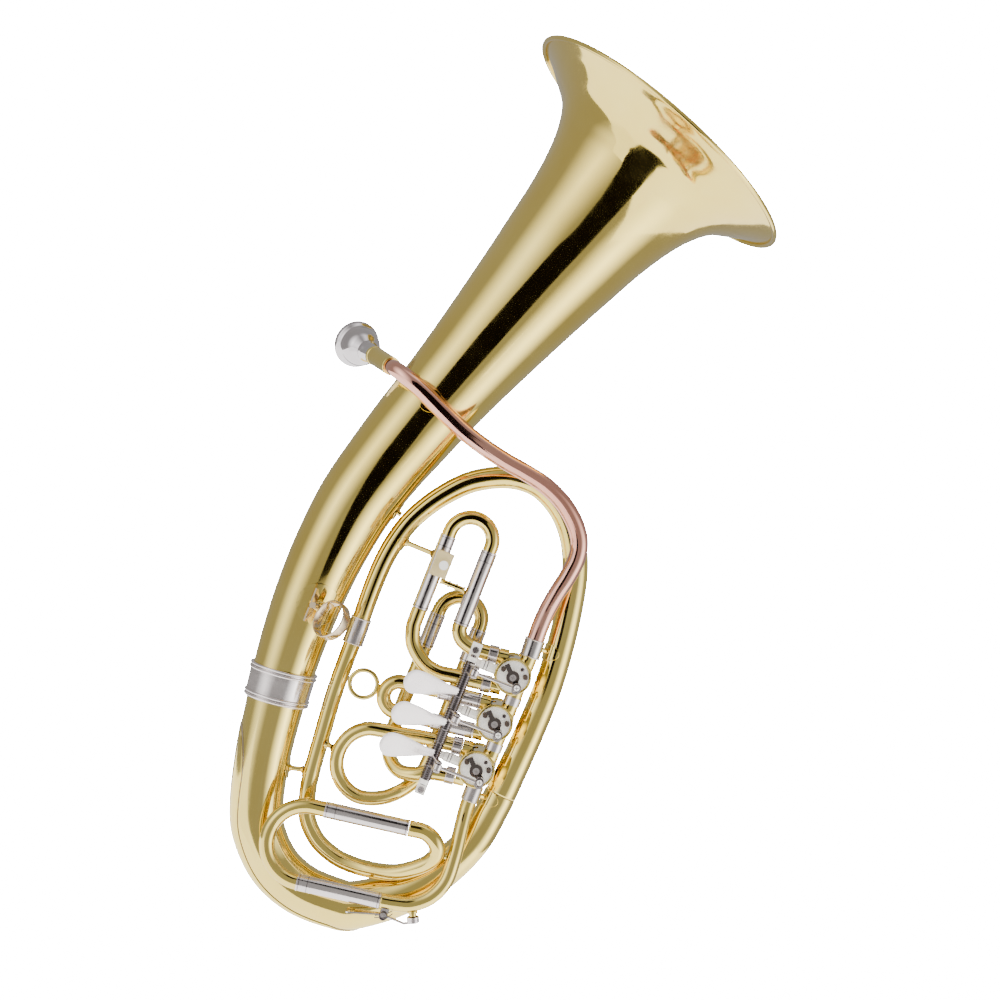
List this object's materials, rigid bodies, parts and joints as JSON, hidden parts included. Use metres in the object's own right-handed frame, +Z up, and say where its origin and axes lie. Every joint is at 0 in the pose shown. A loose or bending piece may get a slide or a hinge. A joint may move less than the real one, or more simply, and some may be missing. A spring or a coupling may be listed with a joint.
{
  "type": "tenor horn",
  "caption": "Oval tenor horn of the euphonium family with rotary valves, paddle levers, tuning slides, water key, thumb ring and mouthpiece.",
  "frame": {"origin": "centre of the thumb ring", "axes": "+Z up along the valve row, +X from the bell tube towards the branch, +Y away from the lever side"},
  "size_m": [0.2977, 0.241, 0.7128],
  "materials": {
    "lacquered_brass": "polished yellow brass under clear lacquer",
    "rose_brass": "polished rose brass under clear lacquer",
    "nickel_silver": "polished nickel silver",
    "paddle_nickel": "polished nickel silver, touched by fingers",
    "silver_plate": "silver plate",
    "dark_steel": "dark blued steel",
    "cork": "dark cork and rubber buffers"
  },
  "bodies": {
    "horn": {"bell_flare": "lacquered_brass", "bell_stem": "lacquered_brass", "bell_ferrule": "nickel_silver", "bottom_bow": "lacquered_brass", "bow_guard": "lacquered_brass", "outer_branch": "lacquered_brass", "tube_ferrules": "nickel_silver", "inner_branch": "lacquered_brass", "main_slide_sleeves": "nickel_silver", "outlet_tube": "lacquered_brass", "leadpipe": "rose_brass", "leadpipe_receiver": "lacquered_brass", "valve_casings": "lacquered_brass", "front_plates": "nickel_silver", "back_plates": "lacquered_brass", "back_caps": "lacquered_brass", "valve_bumpers": "cork", "hinge_rod": "dark_steel", "lever_bracket": "nickel_silver", "lever_posts": "nickel_silver", "lever_springs": "dark_steel", "bracket_screws": "nickel_silver", "valve_knuckles": "nickel_silver", "port_ferrules": "nickel_silver", "slide_1_tubes": "lacquered_brass", "slide_1_sleeves": "nickel_silver", "lyre_box": "lacquered_brass", "slide_2_sleeves": "nickel_silver", "slide_3_tubes": "lacquered_brass", "slide_3_sleeves": "nickel_silver", "thumb_ring": "lacquered_brass", "thumb_ring_base": "lacquered_brass", "water_key_saddle": "nickel_silver", "water_key_nipple": "lacquered_brass", "stays": "lacquered_brass"},
    "main_slide": {"main_slide_bow": "lacquered_brass"},
    "mouthpiece": {"mouthpiece": "silver_plate"},
    "slide_1": {"slide_1_bow": "lacquered_brass"},
    "slide_2": {"slide_2_bow": "lacquered_brass"},
    "slide_3": {"slide_3_bow": "lacquered_brass"},
    "lyre_screw": {"lyre_screw": "nickel_silver"},
    "wing_screw": {"wing_screw": "lacquered_brass"},
    "water_key": {"water_key_lever": "nickel_silver", "water_key_cork": "cork"},
    "rotor_1": {"rotor_1": "lacquered_brass", "stop_arm_1": "dark_steel", "stop_arm_screw_1": "nickel_silver"},
    "lever_1": {"lever_1": "paddle_nickel"},
    "link_1": {"link_1": "nickel_silver"},
    "rotor_2": {"rotor_2": "lacquered_brass", "stop_arm_2": "dark_steel", "stop_arm_screw_2": "nickel_silver"},
    "lever_2": {"lever_2": "paddle_nickel"},
    "link_2": {"link_2": "nickel_silver"},
    "rotor_3": {"rotor_3": "lacquered_brass", "stop_arm_3": "dark_steel", "stop_arm_screw_3": "nickel_silver"},
    "lever_3": {"lever_3": "paddle_nickel"},
    "link_3": {"link_3": "nickel_silver"}
  },
  "joints": [
    {"name": "lever_1_press", "type": "hinge", "parent": "horn", "child": "lever_1", "pos_m": [0.111, 0.0195, 0.00305], "axis": [0, 0, -1], "range_deg": [0, 27], "stiffness_Nm_per_rad": 0.15, "springref_deg": -17.19},
    {"name": "link_1_travel", "type": "slide", "parent": "horn", "child": "link_1", "axis": [-1, 0, 0], "range_m": [0, 0.0099]},
    {"name": "rotor_1_turn", "type": "hinge", "parent": "horn", "child": "rotor_1", "pos_m": [0.145, 0.033, 0.009], "axis": [0, 1, 0], "range_deg": [0, 90]},
    {"name": "lever_2_press", "type": "hinge", "parent": "horn", "child": "lever_2", "pos_m": [0.111, 0.0195, -0.03545], "axis": [0, 0, -1], "range_deg": [0, 27], "stiffness_Nm_per_rad": 0.15, "springref_deg": -17.19},
    {"name": "link_2_travel", "type": "slide", "parent": "horn", "child": "link_2", "axis": [-1, 0, 0], "range_m": [0, 0.0099]},
    {"name": "rotor_2_turn", "type": "hinge", "parent": "horn", "child": "rotor_2", "pos_m": [0.145, 0.033, -0.0295], "axis": [0, 1, 0], "range_deg": [0, 90]},
    {"name": "lever_3_press", "type": "hinge", "parent": "horn", "child": "lever_3", "pos_m": [0.111, 0.0195, -0.07395], "axis": [0, 0, -1], "range_deg": [0, 27], "stiffness_Nm_per_rad": 0.15, "springref_deg": -17.19},
    {"name": "link_3_travel", "type": "slide", "parent": "horn", "child": "link_3", "axis": [-1, 0, 0], "range_m": [0, 0.0099]},
    {"name": "rotor_3_turn", "type": "hinge", "parent": "horn", "child": "rotor_3", "pos_m": [0.145, 0.033, -0.068], "axis": [0, 1, 0], "range_deg": [0, 90]},
    {"name": "main_slide_pull", "type": "slide", "parent": "horn", "child": "main_slide", "axis": [-0.9882, 0, -0.153], "range_m": [0, 0.045]},
    {"name": "slide_1_pull", "type": "slide", "parent": "horn", "child": "slide_1", "axis": [0, 0, 1], "range_m": [0, 0.022]},
    {"name": "slide_2_pull", "type": "slide", "parent": "horn", "child": "slide_2", "axis": [-0.9903, 0, -0.1392], "range_m": [0, 0.018]},
    {"name": "slide_3_pull", "type": "slide", "parent": "horn", "child": "slide_3", "axis": [0, 0, 1], "range_m": [0, 0.02]},
    {"name": "mouthpiece_pull", "type": "slide", "parent": "horn", "child": "mouthpiece", "axis": [-0.5219, 0.843, 0.1305], "range_m": [0, 0.04]},
    {"name": "lyre_screw_turn", "type": "hinge", "parent": "horn", "child": "lyre_screw", "pos_m": [0.064, 0.0206, 0.0695], "axis": [0, -1, 0], "continuous": true},
    {"name": "wing_screw_turn", "type": "hinge", "parent": "horn", "child": "wing_screw", "pos_m": [-0.0121, 0.014, 0.0051], "axis": [-0.5501, -0.8351, 0], "range_deg": [-30, 30]},
    {"name": "water_key_press", "type": "hinge", "parent": "horn", "child": "water_key", "pos_m": [0.1193, 0.0164, -0.1981], "axis": [0, 1, 0], "range_deg": [0, 12], "stiffness_Nm_per_rad": 0.05, "springref_deg": -20.05}
  ],
  "couplings": [
    {"joint": "link_1_travel", "follows": "lever_1_press", "m_per_rad": 0.021007},
    {"joint": "rotor_1_turn", "follows": "lever_1_press", "ratio": 3.3333},
    {"joint": "link_2_travel", "follows": "lever_2_press", "m_per_rad": 0.021007},
    {"joint": "rotor_2_turn", "follows": "lever_2_press", "ratio": 3.3333},
    {"joint": "link_3_travel", "follows": "lever_3_press", "m_per_rad": 0.021007},
    {"joint": "rotor_3_turn", "follows": "lever_3_press", "ratio": 3.3333}
  ]
}
